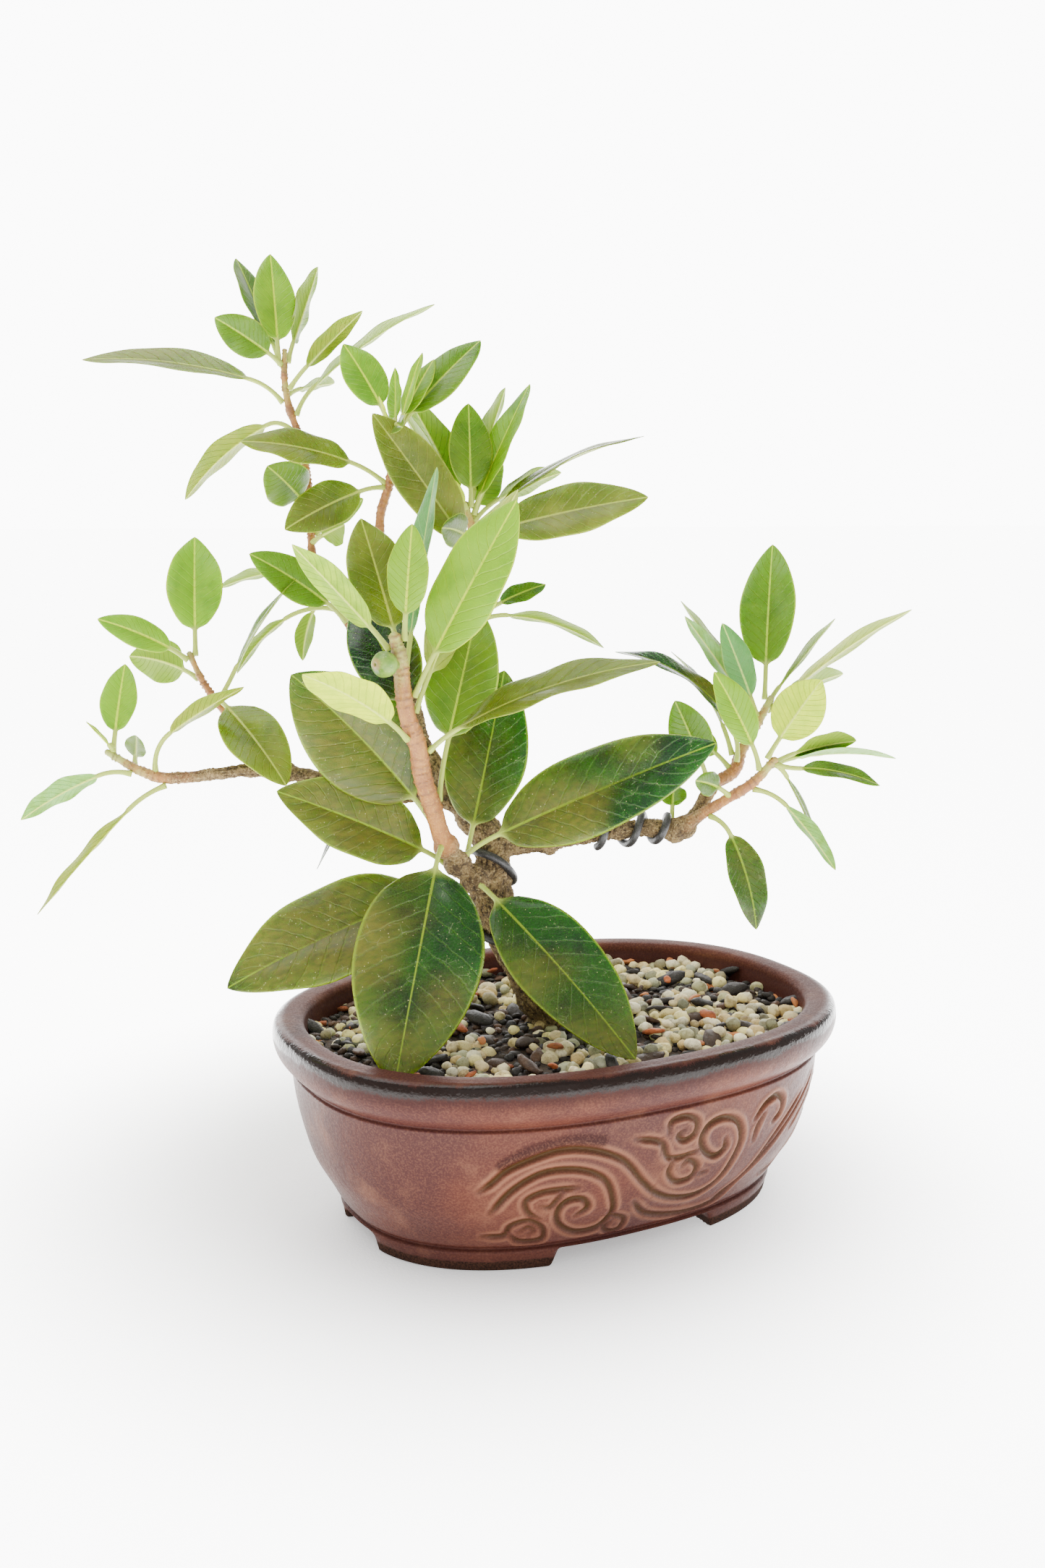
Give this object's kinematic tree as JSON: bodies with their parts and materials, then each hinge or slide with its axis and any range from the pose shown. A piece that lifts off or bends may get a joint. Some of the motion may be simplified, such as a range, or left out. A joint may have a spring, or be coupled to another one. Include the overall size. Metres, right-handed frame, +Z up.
{
  "type": "potted bonsai tree",
  "caption": "Small-leaved fig trained as a bonsai with wired branches, rooted in gritty soil in an oval footed pot with a mauve-brown glaze.",
  "frame": {"origin": "middle of the part's bounding box in plan, on the surface that the four feet stand on", "axes": "+X along the long side of the oval pot, -Y towards the decorated front, +Z up"},
  "size_m": [0.3012, 0.2184, 0.3388],
  "materials": {
    "glaze": "satin",
    "grit": "matte",
    "bark": "matte",
    "training_wire": "satin",
    "fig_skin": "satin",
    "young_leaf": "satin",
    "grown_leaf": "satin",
    "old_leaf": "gloss"
  },
  "bodies": {
    "root": {"pot": "glaze", "soil": "grit", "trunk": "bark", "wire_trunk": "training_wire", "wire_right": "training_wire", "fig": "fig_skin", "leaf_top_1": "young_leaf", "leaf_top_2": "grown_leaf", "leaf_top_3": "grown_leaf", "leaf_top_4": "grown_leaf", "leaf_top_5": "grown_leaf", "leaf_top_6": "grown_leaf", "leaf_top_7": "grown_leaf", "leaf_top_8": "grown_leaf", "leaf_top_9": "grown_leaf", "leaf_mid_1": "young_leaf", "leaf_mid_2": "grown_leaf", "leaf_mid_3": "grown_leaf", "leaf_mid_4": "grown_leaf", "leaf_high_1": "grown_leaf", "leaf_high_2": "grown_leaf", "leaf_high_3": "young_leaf", "leaf_high_4": "old_leaf", "leaf_high_5": "grown_leaf", "leaf_high_6": "grown_leaf", "leaf_high_7": "old_leaf", "leaf_front_1": "young_leaf", "leaf_front_2": "grown_leaf", "leaf_front_3": "young_leaf", "leaf_front_4": "young_leaf", "leaf_front_5": "grown_leaf", "leaf_front_6": "grown_leaf", "leaf_front_7": "young_leaf", "leaf_front_8": "old_leaf", "leaf_front_9": "old_leaf", "leaf_front_10": "old_leaf", "leaf_front_11": "old_leaf", "leaf_front_12": "old_leaf", "leaf_front_13": "old_leaf", "leaf_front_14": "grown_leaf", "leaf_front_15": "old_leaf", "leaf_front_16": "grown_leaf", "leaf_front_17": "old_leaf", "leaf_left_1": "young_leaf", "leaf_left_2": "young_leaf", "leaf_left_3": "grown_leaf", "leaf_left_4": "young_leaf", "leaf_left_5": "grown_leaf", "leaf_left_6": "grown_leaf", "leaf_left_7": "grown_leaf", "leaf_left_8": "grown_leaf", "leaf_right_1": "grown_leaf", "leaf_right_2": "grown_leaf", "leaf_right_3": "young_leaf", "leaf_right_4": "young_leaf", "leaf_right_5": "grown_leaf", "leaf_right_6": "grown_leaf", "leaf_right_7": "grown_leaf", "leaf_right_8": "old_leaf", "leaf_right_9": "old_leaf"}
  },
  "joints": []
}
